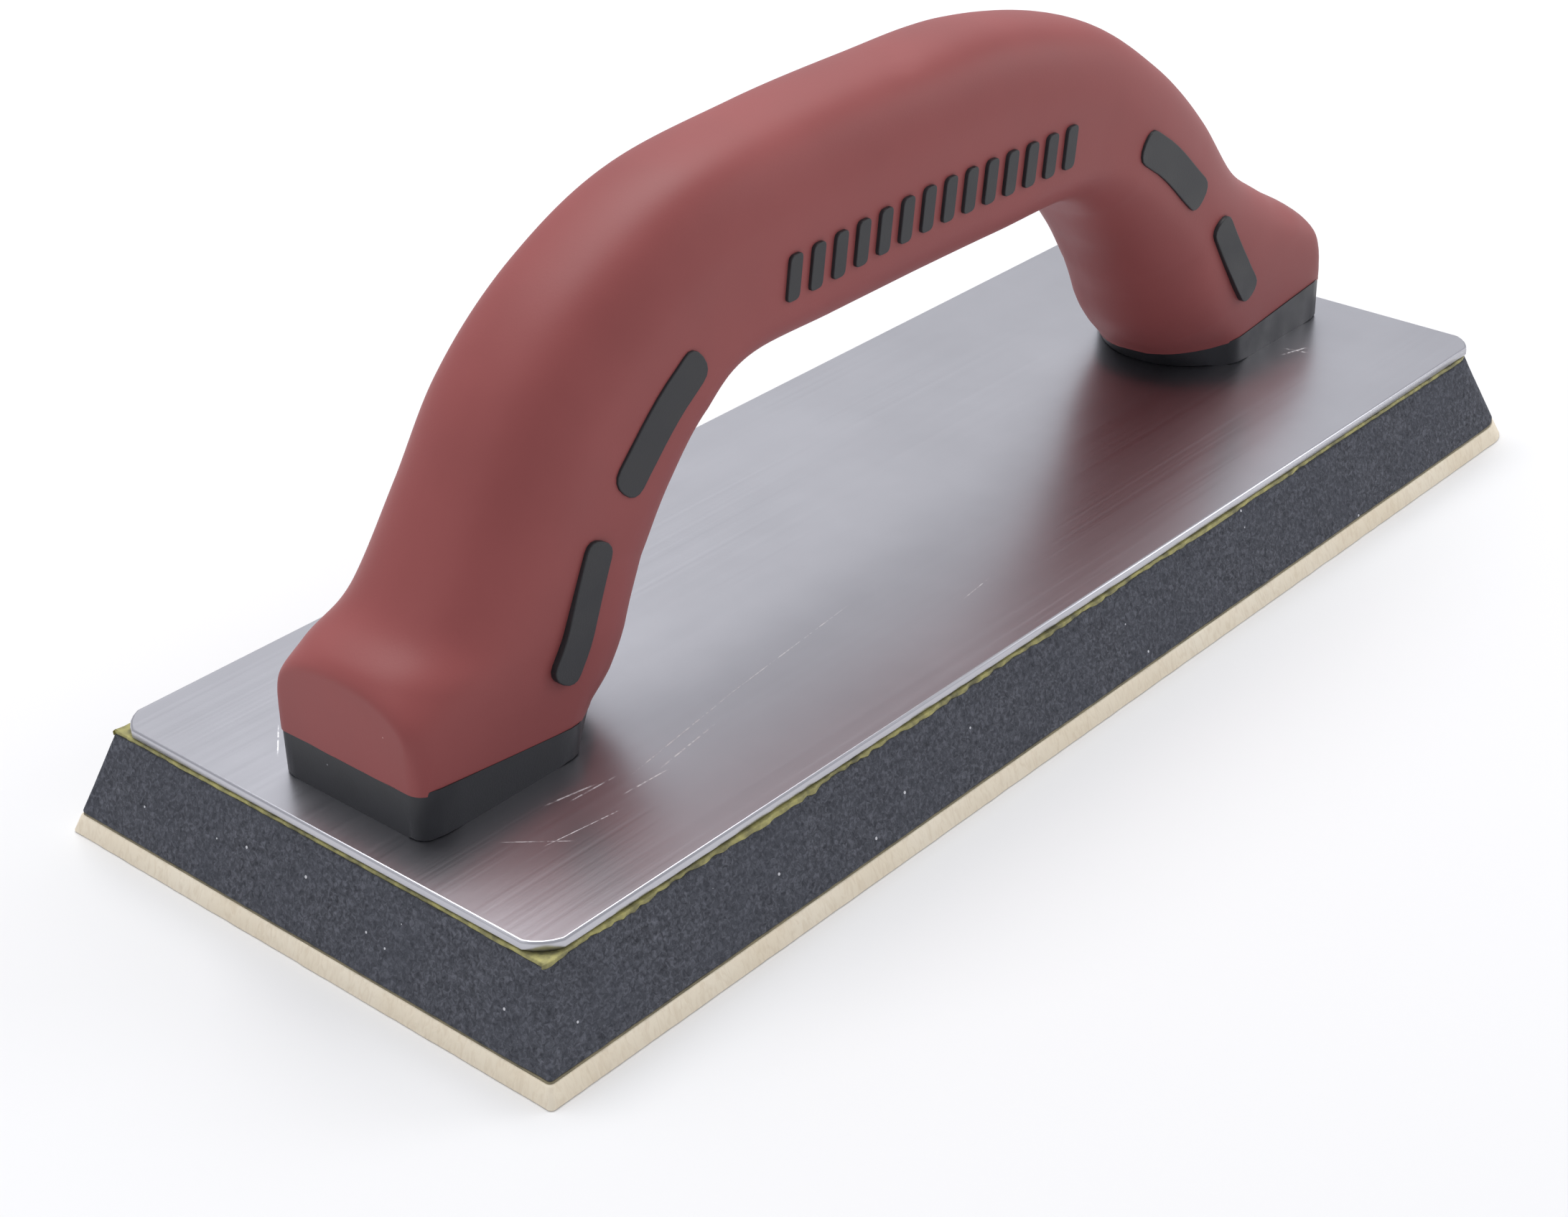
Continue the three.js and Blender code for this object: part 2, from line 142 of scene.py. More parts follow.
def catmull_rom(points, place):
    """A point of the smooth curve through the points; place counts the points from 0 and may be fractional."""
    last = len(points) - 1
    i = min(int(place), last - 1)
    t = place - i
    b, c = points[i], points[i + 1]
    a = points[i - 1] if i > 0 else 2 * b - c
    d = points[i + 2] if i + 2 <= last else 2 * c - b
    return 0.5 * (2 * b + (c - a) * t + (2 * a - 5 * b + 4 * c - d) * t**2 + (3 * b - a - 3 * c + d) * t**3)


def leg_points(outline, top, drop):
    """The points of one outline from mid grip to the foot, with the grip's end a drop below its middle."""
    rise = top - PARTING
    leg = [Vector((TOE - inset * MM, 0, PARTING + share * rise)) for inset, share in outline]
    return [Vector((0, 0, top)), Vector((leg[0].x / 2, 0, top - drop)), *leg]


def toe_to_toe(rear, front):
    """Both legs' points as one row, from the -X foot to the +X foot."""
    return [Vector((-p.x, p.y, p.z)) for p in reversed(rear[1:])] + front


OUTER_POINTS = toe_to_toe(
    leg_points(REAR_OUTER_OUTLINE, CROWN, GRIP_CROWN_DROP),
    leg_points(FRONT_OUTER_OUTLINE, CROWN, GRIP_CROWN_DROP),
)
INNER_POINTS = toe_to_toe(leg_points(INNER_OUTLINE, UNDERSIDE, 0), leg_points(INNER_OUTLINE, UNDERSIDE, 0))


def section_at(knot):
    """The section at a knot number: 0 is mid grip, LAST is the end of the +X foot and -LAST that of the -X foot."""
    place = min(abs(knot), LAST - 1e-6)
    below = int(place)
    sizes = [a + (b - a) * (place - below) for a, b in zip(SECTIONS[below], SECTIONS[below + 1])]
    inner = catmull_rom(INNER_POINTS, knot + LAST)
    outward = catmull_rom(OUTER_POINTS, knot + LAST) - inner
    return {
        "inner": inner,
        "depth": outward.length,
        "outward": outward.normalized(),
        "half_width": GRIP_HALF_WIDTH + (FOOT_HALF_WIDTH - GRIP_HALF_WIDTH) * sizes[0],
        "crown": sizes[1] * MM,
        "inside": sizes[2] * MM,
    }


def panel_point(knot):
    """A point on the middle line of the flat side panels, at Y = 0."""
    s = section_at(knot)
    return s["inner"] + s["outward"] * (s["inside"] + WINDOW_INSET)


def bezier(a, b, c, d, steps):
    """Points from a up to but not including d."""
    return [
        a * (1 - t) ** 3 + 3 * b * t * (1 - t) ** 2 + 3 * c * t**2 * (1 - t) + d * t**3
        for t in (i / steps for i in range(steps))
    ]


def smooth_step(low, high, value):
    """Rises smoothly from 0 at low to 1 at high."""
    t = min(max((value - low) / (high - low), 0), 1)
    return t * t * (3 - 2 * t)


def averaged(ring, passes):
    """A closed row of points with its corners averaged away."""
    for _ in range(passes):
        ring = [(ring[i - 1] + 2 * p + ring[(i + 1) % len(ring)]) / 4 for i, p in enumerate(ring)]
    return ring


def ring_at(knot, inset=0.0, softness=TOE_SOFTNESS):
    """The closed section at a knot number as points of the handle, flattened on the toe face."""
    s = section_at(knot)
    width, depth = s["half_width"], s["depth"]
    crisp = smooth_step(*CRISP_KNOTS, abs(knot))
    turn = GRIP_TURN + (FOOT_TURN - GRIP_TURN) * crisp
    heel, brow = Vector((s["inside"], width)), Vector((depth - s["crown"], width))
    half = bezier(
        Vector((0, 0)),
        Vector((0, INSIDE_FULLNESS * width)),
        heel - INSIDE_PULL * s["inside"] * Vector((math.cos(turn), math.sin(turn))),
        heel,
        RING_STEPS[0],
    )
    half += [heel.lerp(brow, i / RING_STEPS[1]) for i in range(RING_STEPS[1])]
    half += bezier(
        brow,
        brow + CROWN_PULL * s["crown"] * Vector((math.cos(CROWN_TURN), -math.sin(CROWN_TURN))),
        Vector((depth, CROWN_FULLNESS * width)),
        Vector((depth, 0)),
        RING_STEPS[2],
    )
    half.append(Vector((depth, 0)))
    ring = half + [Vector((p.x, -p.y)) for p in reversed(half[1:-1])]
    soft, hard = averaged(ring, SOFT_PASSES), averaged(ring, CRISP_PASSES)
    points = []
    for p in [a.lerp(b, crisp) for a, b in zip(soft, hard)]:
        point = s["inner"] + s["outward"] * p.x + Vector((0, p.y, 0))
        points.append(held_in_foot(point, inset, softness))
    return points


def parting_shift(x):
    """How far the sloping parting line is above its middle level."""
    return PARTING_RISE - PARTING_SLOPE * (TOE - abs(x))


def held_in_foot(point, inset, soft):
    """Pushes a point back onto the upright toe face and foot sides, with a soft edge round them."""
    corner = FOOT_CORNER_RADIUS
    x = abs(point.x) - (TOE - inset - corner)
    y = abs(point.y) - (FOOT_HALF_WIDTH - inset - corner)
    if x > 0 and y > 0:
        distance = math.hypot(x, y)
        way = Vector((x / distance, y / distance))
    else:
        distance = max(x, y)
        way = Vector((1, 0)) if x > y else Vector((0, 1))
    over = distance - corner
    if over <= -soft:
        return point
    back = over if over >= soft else (over + soft) ** 2 / (4 * soft)
    sx = math.copysign(1, point.x)
    sy = math.copysign(1, point.y)
    return Vector((point.x - sx * way.x * back, point.y - sy * way.y * back, point.z))


# ---- mesh helpers ---------------------------------------------------------------------------------------

LARGE_FACE = 400 * MM**2  # a face larger than this is shaded flat
LEVEL = 0.9999  # so is one that faces up or down this nearly


def finish_piece(name, bm, material, replaces, smooth_angle):
    """Makes an object of a bmesh, rides it on the float and gives it its finish."""
    bmesh.ops.recalc_face_normals(bm, faces=bm.faces)
    bm.normal_update()
    for face in bm.faces:
        level = abs(face.normal.z) > LEVEL
        face.smooth = len(face.verts) <= 4 and face.calc_area() < LARGE_FACE and not level
    for edge in bm.edges:
        edge.smooth = edge.calc_face_angle(0) < math.radians(smooth_angle)
    mesh = bpy.data.meshes.new(name)
    bm.to_mesh(mesh)
    bm.free()
    if "custom_normal" in mesh.attributes:
        mesh.attributes.remove(mesh.attributes["custom_normal"])
    piece = bpy.data.objects.new(name, mesh)
    bpy.context.scene.collection.objects.link(piece)
    mesh.materials.append(material)
    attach(piece, "root")
    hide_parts(replaces)
    return piece


def rounded(bm, edges, radius, segments=2):
    """Rounds edges over."""
    bmesh.ops.bevel(bm, geom=edges, offset=radius, segments=segments, profile=0.5, affect="EDGES", material=-1)


def extruded_row(bm, row, points):
    """Extrudes a closed row of vertices and puts the new row on the points."""
    edges = [bm.edges.get((row[i - 1], row[i])) for i in range(len(row))]
    made = set(bmesh.ops.extrude_edge_only(bm, edges=edges)["geom"])
    new_row = []
    for vert, point in zip(row, points):
        new = next(e.other_vert(vert) for e in vert.link_edges if e.other_vert(vert) in made)
        new.co = point
        new_row.append(new)
    return new_row


def skin_through(rings):
    """A closed bmesh skin through rings of equally many points."""
    bm = bmesh.new()
    bmesh.ops.create_circle(bm, cap_ends=False, radius=1, segments=len(rings[0]))
    first = sorted(bm.verts, key=lambda v: math.atan2(v.co.y, v.co.x) % (2 * math.pi))
    for vert, point in zip(first, rings[0]):
        vert.co = point
    row = first
    for ring in rings[1:]:
        row = extruded_row(bm, row, ring)
    bm.faces.new(first)
    bm.faces.new(row)
    return bm


def wobble(place, size, amount, seed=0.0):
    """A smooth random amount at a place, for surfaces that aren't quite true."""
    return noise.noise(place / size + Vector((seed, 7.3 * seed, 1.7))) * amount


# ---- materials ------------------------------------------------------------------------------------------


def colour(text):
    """An sRGB hex colour as linear numbers."""
    parts = [int(text[i : i + 2], 16) / 255 for i in (1, 3, 5)]
    return [c / 12.92 if c <= 0.04045 else ((c + 0.055) / 1.055) ** 2.4 for c in parts] + [1]


def add(tree, kind, values=(), stops=(), **settings):
    """Adds a node and gives back its first live output.

    Each value is a number, a colour or another node's output, for the sockets in their order or by name or number.
    The stops are a colour ramp's positions and hex colours.
    """
    node = tree.nodes.new(kind)
    for name, value in settings.items():
        setattr(node, name, value)
    for socket, value in values.items() if isinstance(values, dict) else enumerate(values):
        if isinstance(value, bpy.types.NodeSocket):
            tree.links.new(value, node.inputs[socket])
        else:
            node.inputs[socket].default_value = value
    if stops:
        elements = node.color_ramp.elements
        while len(elements) < len(stops):
            elements.new(0.5)
        for element, (position, text) in zip(elements, stops):
            element.position = position
            element.color = colour(text)
    return next((output for output in node.outputs if output.enabled), None)


def new_material(name, roughness, metallic=0.0, ior=1.5, specular=0.5, base=None):
    """A material with one shader, the object's own coordinates and nothing else yet."""
    material = bpy.data.materials.new(name)
    material.use_nodes = True
    tree = material.node_tree
    tree.nodes.clear()
    values = {"Roughness": roughness, "Metallic": metallic}
    if not metallic:
        values |= {"IOR": ior, "Specular IOR Level": specular}
    if base:
        values["Base Color"] = colour(base)
    surface = add(tree, "ShaderNodeBsdfPrincipled", values)
    add(tree, "ShaderNodeOutputMaterial", {"Surface": surface})
    place = add(tree, "ShaderNodeTexCoord").node.outputs["Object"]
    return material, tree, surface.node, place


def grain(tree, place, size, detail=2.0, stretch=(1, 1, 1), roughness=0.5, distortion=0.0):
    """Noise whose lumps are about one size, in metres, and longer along the axes that are stretched."""
    spread = add(tree, "ShaderNodeMapping", {"Vector": place, "Scale": [1 / (size * s) for s in stretch]})
    values = {"Vector": spread, "Scale": 1.0, "Detail": detail, "Roughness": roughness, "Distortion": distortion}
    return add(tree, "ShaderNodeTexNoise", values)


def bump(tree, shader, heights):
    """Stacks bumps on a shader: heights are (value, depth in metres)."""
    normal = None
    for value, depth in heights:
        values = {"Height": value, "Distance": depth, "Strength": 1.0}
        if normal:
            values["Normal"] = normal
        normal = add(tree, "ShaderNodeBump", values)
    tree.links.new(normal, shader.inputs["Normal"])


def specks(tree, place, spacing, radius, share):
    """Small round specks: 1 on a speck and 0 off it. share is how many of the cells have one."""
    cells = {"Vector": place, "Scale": 1 / spacing, "Randomness": 1.0}
    distance = add(tree, "ShaderNodeTexVoronoi", cells, feature="F1")
    near = add(tree, "ShaderNodeMath", (distance, radius / spacing), operation="LESS_THAN")
    draw = add(tree, "ShaderNodeSeparateColor", (distance.node.outputs["Color"],))
    chosen = add(tree, "ShaderNodeMath", (draw, share), operation="LESS_THAN")
    return add(tree, "ShaderNodeMath", (near, chosen), operation="MULTIPLY")


def scratch(tree, place, start, end, width):
    """A straight scratch on the plate, from start to end in X and Y millimetres: 1 on it and 0 off it."""
    a = Vector((*start, 0)) * MM
    b = Vector((*end, 0)) * MM
    way = (b - a).normalized()
    half = (b - a).length / 2
    flat = add(tree, "ShaderNodeVectorMath", (place, (1, 1, 0)), operation="MULTIPLY")
    away = add(tree, "ShaderNodeVectorMath", (flat, a), operation="SUBTRACT")
    side = add(tree, "ShaderNodeVectorMath", (away, (-way.y, way.x, 0)), operation="DOT_PRODUCT")
    side = add(tree, "ShaderNodeMath", (side,), operation="ABSOLUTE")
    across = add(tree, "ShaderNodeMapRange", (side, 0.0, width, 1.0, 0.0))
    along = add(tree, "ShaderNodeVectorMath", (away, way), operation="DOT_PRODUCT")
    along = add(tree, "ShaderNodeMath", (along, half), operation="SUBTRACT")
    along = add(tree, "ShaderNodeMath", (along,), operation="ABSOLUTE")
    lengthwise = add(tree, "ShaderNodeMapRange", (along, half * 0.6, half, 1.0, 0.0))
    return add(tree, "ShaderNodeMath", (across, lengthwise), operation="MULTIPLY")


FIRST, SECOND = 6, 7  # a colour Mix node's sockets for its two colours


def soft_grip_rubber():
    """Thermoplastic rubber, moulded over the core: a soft satin red-brown with an eggshell grain and some lint."""
    material, tree, shader, place = new_material("tpr_overmould_red_brown", 0.5, ior=1.48, specular=0.36)
    cloud = grain(tree, place, 22 * MM, 3)
    tone = add(tree, "ShaderNodeValToRGB", (cloud,), ((0.3, "#8E4847"), (0.7, "#964E4D")))
    lint = specks(tree, place, 9 * MM, 0.16 * MM, 0.45)
    linty = {0: lint, FIRST: tone, SECOND: colour("#C79C96")}
    tree.links.new(add(tree, "ShaderNodeMix", linty, data_type="RGBA"), shader.inputs["Base Color"])
    rough = add(tree, "ShaderNodeMapRange", (cloud, 0.3, 0.7, 0.48, 0.56))
    tree.links.new(rough, shader.inputs["Roughness"])
    fine = grain(tree, place, 0.35 * MM, 2)  # the real grain is about 0.1 mm, and is drawn coarser to show
    bump(tree, shader, ((fine, 0.012 * MM), (grain(tree, place, 6 * MM, 2), 0.03 * MM)))
    shader.inputs["Sheen Weight"].default_value = 0.06
    shader.inputs["Sheen Roughness"].default_value = 0.4
    shader.inputs["Sheen Tint"].default_value = colour("#F2C9CB")
    return material


def core_plastic():
    """Glass-filled nylon, moulded: near-black with a dry satin surface and a little pale dust."""
    material, tree, shader, place = new_material("nylon_core_black", 0.45)
    cloud = grain(tree, place, 5 * MM, 3)
    tone = add(tree, "ShaderNodeValToRGB", (cloud,), ((0.35, "#1F2023"), (0.75, "#2A2B2F")))
    dust = specks(tree, place, 5 * MM, 0.14 * MM, 0.3)
    dusty = {0: dust, FIRST: tone, SECOND: colour("#77777C")}
    tree.links.new(add(tree, "ShaderNodeMix", dusty, data_type="RGBA"), shader.inputs["Base Color"])
    rough = add(tree, "ShaderNodeMapRange", (cloud, 0.3, 0.7, 0.4, 0.52))
    tree.links.new(rough, shader.inputs["Roughness"])
    bump(tree, shader, ((grain(tree, place, 0.3 * MM, 2), 0.015 * MM),))
    return material


SCRATCHES = (
    # start and end in millimetres on the plate, and width
    ((-62, -21), (-27, -17.2), 0.14),
    ((-84, -24.5), (-58, -20.6), 0.16),
    ((-80, -26.5), (-66, -24.5), 0.2),
    ((-97, -20.5), (-88, -22.3), 0.24),
    ((-94, -22.5), (-85, -23), 0.2),
    ((-88, -27), (-79, -27.5), 0.18),
    ((-104, -27.5), (-90, -29.5), 0.12),
    ((-107, -22), (-100, -30), 0.1),
    ((-112, 18), (-106, 25), 0.14),
    ((-15, -30), (-7, -29), 0.12),
    ((93, -19.5), (99, -21.5), 0.3),
    ((96, -18), (97, -23), 0.24),
)


def plate_aluminium():
    """Mill-finish aluminium sheet: silver-grey, with rolling grain along its length and handling scratches."""
    material, tree, shader, place = new_material("mill_aluminium_sheet", 0.3, metallic=1.0)
    cloud = grain(tree, place, 40 * MM, 4, roughness=0.6)
    # real rolling lines are finer than 0.1 mm, and are drawn coarser to show
    streak = grain(tree, place, 0.6 * MM, 3, stretch=(150, 1, 1))
    tone = add(tree, "ShaderNodeValToRGB", (cloud,), ((0.3, "#BEBEC4"), (0.7, "#C8C8CE")))
    marks = None
    for start, end, width in SCRATCHES:
        line = scratch(tree, place, start, end, width * MM)
        marks = add(tree, "ShaderNodeMath", (marks, line), operation="MAXIMUM") if marks else line
    ragged = add(tree, "ShaderNodeMapRange", (grain(tree, place, 0.8 * MM, 2), 0.35, 0.6))
    marks = add(tree, "ShaderNodeMath", (marks, ragged), operation="MULTIPLY")
    marked = {0: marks, FIRST: tone, SECOND: colour("#FFFFFF")}
    tree.links.new(add(tree, "ShaderNodeMix", marked, data_type="RGBA"), shader.inputs["Base Color"])
    rough = add(tree, "ShaderNodeMapRange", (streak, 0.3, 0.7, 0.29, 0.33))
    torn = add(tree, "ShaderNodeMath", (marks, 0.4), operation="MULTIPLY")
    rough = add(tree, "ShaderNodeMath", (rough, torn), operation="ADD")
    tree.links.new(rough, shader.inputs["Roughness"])
    bump(tree, shader, ((streak, 0.0003 * MM), (grain(tree, place, 40 * MM, 2), 0.02 * MM)))
    return material


def sponge_rubber():
    """Closed-cell sponge rubber, cut with a knife: dry blue-grey with torn cells, fibres and a few white specks."""
    material, tree, shader, place = new_material("sponge_rubber_knife_cut", 0.9, specular=0.25)
    # real cells are about 0.3 mm across, and are drawn coarser to show
    cells = grain(tree, place, 0.7 * MM, 4, roughness=0.65, distortion=0.8)
    streak = grain(tree, place, 0.5 * MM, 3, stretch=(5, 5, 1), distortion=0.4)
    patches = grain(tree, place, 9 * MM, 3)
    tone = add(tree, "ShaderNodeValToRGB", (cells,), ((0.3, "#33343A"), (0.5, "#505259"), (0.7, "#70727B")))
    worn = add(tree, "ShaderNodeMapRange", (patches, 0.3, 0.7, 0.0, 0.35))
    tone = add(tree, "ShaderNodeMix", {0: worn, FIRST: tone, SECOND: colour("#4B4E57")}, data_type="RGBA")
    dots = specks(tree, place, 4 * MM, 0.24 * MM, 0.4)
    dotted = {0: dots, FIRST: tone, SECOND: colour("#D2D3D8")}
    tree.links.new(add(tree, "ShaderNodeMix", dotted, data_type="RGBA"), shader.inputs["Base Color"])
    bump(tree, shader, ((cells, 0.16 * MM), (streak, 0.08 * MM)))
    return material


def gum_rubber():
    """Natural gum rubber sheet: matte cream-tan, its cut edge crimped into fine upright wrinkles, with painted shade
    in their hollows.
    """
    material, tree, shader, place = new_material("gum_rubber_natural", 0.75, specular=0.3)
    cloud = grain(tree, place, 18 * MM, 3)
    crimp = grain(tree, place, 0.9 * MM, 2, stretch=(1, 1, 6), distortion=1.2)
    tone = add(tree, "ShaderNodeValToRGB", (cloud,), ((0.3, "#EFE2CA"), (0.7, "#F6ECD8")))
    # painted shade: the crimp's hollows are darkened towards a deeper tan
    crease_shade = add(tree, "ShaderNodeMapRange", (crimp, 0.3, 0.55, 0.25, 0.0))
    crease_shaded = {0: crease_shade, FIRST: tone, SECOND: colour("#CDB89A")}
    tree.links.new(add(tree, "ShaderNodeMix", crease_shaded, data_type="RGBA"), shader.inputs["Base Color"])
    bump(tree, shader, ((crimp, 0.09 * MM),))
    return material


def dried_cement(name, low, high):
    """Contact cement, brushed on and dried: a waxy yellow-olive skin with lumps."""
    material, tree, shader, place = new_material(name, 0.5, specular=0.4)
    lumps = grain(tree, place, 2.5 * MM, 4, roughness=0.6)
    tone = add(tree, "ShaderNodeValToRGB", (lumps,), ((0.35, low), (0.65, high)))
    tree.links.new(tone, shader.inputs["Base Color"])
    bump(tree, shader, ((lumps, 0.12 * MM),))
    return material


def screw_steel():
    """Zinc-plated steel: a bright cool grey, turned, with fine rings."""
    material, tree, shader, place = new_material("zinc_plated_steel", 0.32, metallic=1.0)
    tone = add(tree, "ShaderNodeValToRGB", (grain(tree, place, 3 * MM, 2),), ((0.3, "#B9BCC0"), (0.7, "#C9CBCD")))
    tree.links.new(tone, shader.inputs["Base Color"])
    bump(tree, shader, ((grain(tree, place, 0.4 * MM, 2, stretch=(6, 6, 1)), 0.01 * MM),))
    return material


def floor_paper():
    """White paper sweep: matte, with a very faint tooth."""
    material, tree, shader, place = new_material("white_paper_floor", 0.9, specular=0.2, base="#EEEEEE")
    # a real tooth is about 0.2 mm, and is drawn coarser to show
    bump(tree, shader, ((grain(tree, place, 3 * MM, 2), 0.01 * MM),))
    return material


GRIP_RUBBER = soft_grip_rubber()
CORE_PLASTIC = core_plastic()
ALUMINIUM = plate_aluminium()
SPONGE = sponge_rubber()
GUM = gum_rubber()
BEAD_CEMENT = dried_cement("contact_cement_olive", "#6A6748", "#B4AE6C")
# the seam's cement is real, and its colour, darker and greyer than the bead's, is painted shade along the joint
SEAM_CEMENT_AND_SHADE = dried_cement("contact_cement_seam_shaded", "#6A6450", "#8E8468")
STEEL = screw_steel()

# ---- blade ----------------------------------------------------------------------------------------------

REAR_CORNER = 0.8 * MM
FRONT_CORNER = 7 * MM
CORNER_SEGMENTS = 8
LONG_EDGE = 50 * MM  # edges longer than this are cut up
SIDE_BAND = 6 * MM  # a point this near to a slab's outline belongs to its sides
LEAN = (FACE_HIGH.x - FOAM_HIGH.x) / (FOAM_LOW.z - FACE_LOW.z)  # how much the pad's sides lean in as they rise
RIM_ANGLE = math.radians(60)  # an edge of the plate sharper than this is part of its rim
FLAT_ANGLE = math.radians(2)  # faces that meet flatter than this become one

# how the cut sides waver: size of the waves, their depth and a seed
GUM_WAVES = ((7 * MM, 0.16 * MM, 1), (1.6 * MM, 0.09 * MM, 2))
SPONGE_WAVES = ((14 * MM, 0.25 * MM, 3), (2 * MM, 0.12 * MM, 4))
SEAM_TUCK = Vector((0.2 * MM, 0.2 * MM, 0))

# the bead's flow is 0 where no cement came out and 1 at the fattest lumps
BEAD_LUMPS = ((9 * MM, 1.2, 5), (1.6 * MM, 0.6, 6))
BEAD_MEAN_FLOW = 0.35
BEAD_LOSS = 0.8  # the share of the flow lost towards the +X end
BEAD_LOSS_SPAN = (-0.6, 0.9)  # where the loss begins and ends, as shares of the half length
BEAD_TUCK = 0.68 * MM  # how far the cement lies back under the plate where none was squeezed out
BEAD_SQUEEZE = 0.7 * MM  # how far the fattest lumps of the bead come out from there
BEAD_DROOP = 0.3 * MM
BEAD_SHORT_SIDE = 0.3  # how much of that flow the short sides have
ROLLED_EDGE = 0.4 * MM


def slab(low, high, top_inset, rim):
    """A bmesh slab between two corners, leaning in towards its top, with rounded upright corners and soft rims."""
    bm = bmesh.new()
    bmesh.ops.create_cube(bm, size=1)
    size, middle = high - low, (low + high) / 2
    bmesh.ops.scale(bm, vec=size, verts=bm.verts)
    bmesh.ops.translate(bm, vec=middle, verts=bm.verts)
    top = [v for v in bm.verts if v.co.z > middle.z]
    bmesh.ops.scale(bm, vec=(1 - 2 * top_inset / size.x, 1 - 2 * top_inset / size.y, 1), verts=top)
    for side, radius in ((-1, REAR_CORNER), (1, FRONT_CORNER)):
        upright = [
            e for e in bm.edges
            if all(side * v.co.x > 0 for v in e.verts) and abs(e.verts[0].co.z - e.verts[1].co.z) > size.z / 2
        ]
        rounded(bm, upright, radius, CORNER_SEGMENTS)
    bm.normal_update()
    rims = [e for e in bm.edges if sum(abs(f.normal.z) > LEVEL for f in e.link_faces) == 1]
    rounded(bm, rims, rim)
    return bm


def cut_lengthwise(bm, step):
    """Cuts the long level edges into short ones, so that the sides can be given an uneven surface."""
    for axis in (0, 1):
        long_edges = [
            e for e in bm.edges
            if abs(e.verts[0].co[axis] - e.verts[1].co[axis]) > LONG_EDGE
            and abs(e.verts[0].co.z - e.verts[1].co.z) < MM
        ]
        length = max(abs(e.verts[0].co[axis] - e.verts[1].co[axis]) for e in long_edges)
        bmesh.ops.subdivide_edges(bm, edges=long_edges, cuts=int(length / step))


def outward_at(point, high):
    """The level direction that faces away from a slab at a point of its side, or None on its top and bottom."""
    x = abs(point.x) - high.x
    y = abs(point.y) - high.y
    if max(x, y) < -SIDE_BAND:
        return None
    return Vector((math.copysign(1, point.x), 0, 0)) if x > y else Vector((0, math.copysign(1, point.y), 0))


def waver(bm, high, waves):
    """Sets a slab's sides in by uneven amounts."""
    for v in bm.verts:
        way = outward_at(v.co, high)
        if way:
            v.co -= way * sum(abs(wobble(v.co, *wave)) for wave in waves)


def gum_sheet():
    """The working sheet, with the slight waves and crimps of an edge cut by hand."""
    bm = slab(FACE_LOW, FACE_HIGH, LEAN * (FACE_HIGH.z - FACE_LOW.z), rim=0.3 * MM)
    cut_lengthwise(bm, step=1.2 * MM)
    waver(bm, FACE_HIGH, GUM_WAVES)
    return finish_piece("gum_sheet", bm, GUM, "gum_face", smooth_angle=40)


def face_seam():
    """The thin line of cement between the gum sheet and the pad, set back a little; its cement is coloured darker
    than the bead's, as painted shade along the joint.
    """
    low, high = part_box("face_adhesive")
    bm = slab(low + SEAM_TUCK, high - SEAM_TUCK, LEAN * (high.z - low.z), rim=0.08 * MM)
    return finish_piece("face_cement_seam_shaded", bm, SEAM_CEMENT_AND_SHADE, "face_adhesive", smooth_angle=40)


def sponge_pad():
    """The sponge pad, its sides uneven where the knife went through."""
    height = FOAM_HIGH.z - FOAM_LOW.z
    bm = slab(FOAM_LOW, FOAM_HIGH, LEAN * height, rim=0.35 * MM)
    cut_lengthwise(bm, step=1.5 * MM)
    upright = [e for e in bm.edges if abs(e.verts[0].co.z - e.verts[1].co.z) > height / 2]
    bmesh.ops.subdivide_edges(bm, edges=upright, cuts=8, use_grid_fill=True)
    waver(bm, FOAM_HIGH, SPONGE_WAVES)
    piece = finish_piece("sponge_pad", bm, SPONGE, "foam_pad", smooth_angle=50)
    return piece


def glue_bead():
    """The cement between pad and plate: squeezed out in lumps along the long sides, less towards the +X end."""
    bm = slab(GLUE_LOW, GLUE_HIGH, top_inset=0, rim=0.15 * MM)
    cut_lengthwise(bm, step=0.7 * MM)
    middle = (GLUE_LOW.z + GLUE_HIGH.z) / 2
    loss_from, loss_to = (share * GLUE_HIGH.x for share in BEAD_LOSS_SPAN)
    for v in bm.verts:
        way = outward_at(v.co, GLUE_HIGH)
        if not way:
            continue
        flow = BEAD_MEAN_FLOW + sum(wobble(v.co, *lump) for lump in BEAD_LUMPS)
        kept = 1 - BEAD_LOSS * smooth_step(loss_from, loss_to, v.co.x)
        flow = min(max(flow, 0), 1) * (kept if way.y else BEAD_SHORT_SIDE)
        v.co += way * (flow * BEAD_SQUEEZE - BEAD_TUCK)
        if v.co.z < middle:
            v.co.z -= flow * BEAD_DROOP
    return finish_piece("plate_cement_bead", bm, BEAD_CEMENT, "plate_adhesive", smooth_angle=50)


def backing_plate():
    """The sheet with its screw holes, its edges rolled over by the shear that cut it."""
    bm = bmesh.new()
    bm.from_mesh(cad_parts["backing_plate"].data)
    bmesh.ops.remove_doubles(bm, verts=bm.verts, dist=0.01 * MM)
    bmesh.ops.dissolve_limit(bm, angle_limit=FLAT_ANGLE, verts=bm.verts, edges=bm.edges)
    bm.normal_update()
    rim = [e for e in bm.edges if outward_at(e.verts[0].co, PLATE_HIGH) and e.calc_face_angle(0) > RIM_ANGLE]
    rounded(bm, rim, ROLLED_EDGE, 3)
    return finish_piece("backing_plate_sheet", bm, ALUMINIUM, "backing_plate", smooth_angle=30)


# ---- handle ---------------------------------------------------------------------------------------------


